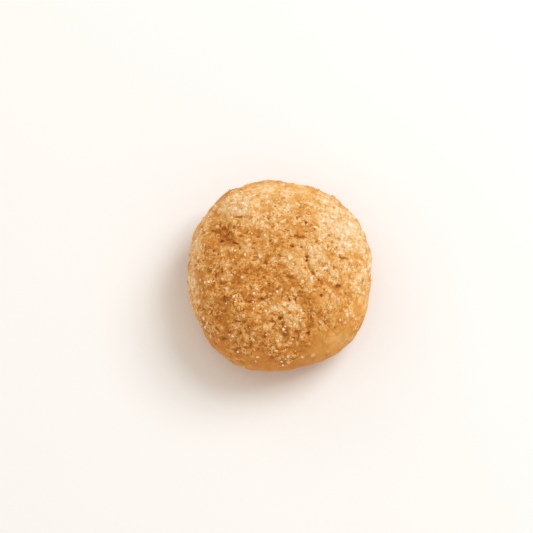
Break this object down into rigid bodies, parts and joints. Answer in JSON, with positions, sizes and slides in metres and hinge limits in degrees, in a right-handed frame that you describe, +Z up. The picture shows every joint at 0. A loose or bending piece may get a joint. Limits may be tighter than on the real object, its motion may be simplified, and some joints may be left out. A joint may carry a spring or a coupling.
{
  "type": "honey cookie",
  "caption": "Thick round domed honey cookie with a lumpy golden crust and coarse sugar baked onto its top, on a flat base.",
  "frame": {"origin": "on the plane the cookie rests on, below the middle of its outline", "axes": "+Z up through the dome; -Y towards the side that the picture shows lowest; X across"},
  "size_m": [0.0565, 0.0597, 0.029],
  "materials": {
    "crust": "baked golden crust, satin to matte, paler on top and browner in its creases and low on its side",
    "sugar": "coarse honey-stained sugar crystals, translucent pale tan with bright facets"
  },
  "bodies": {
    "root": {"honey_cookie": "crust"}
  },
  "joints": []
}
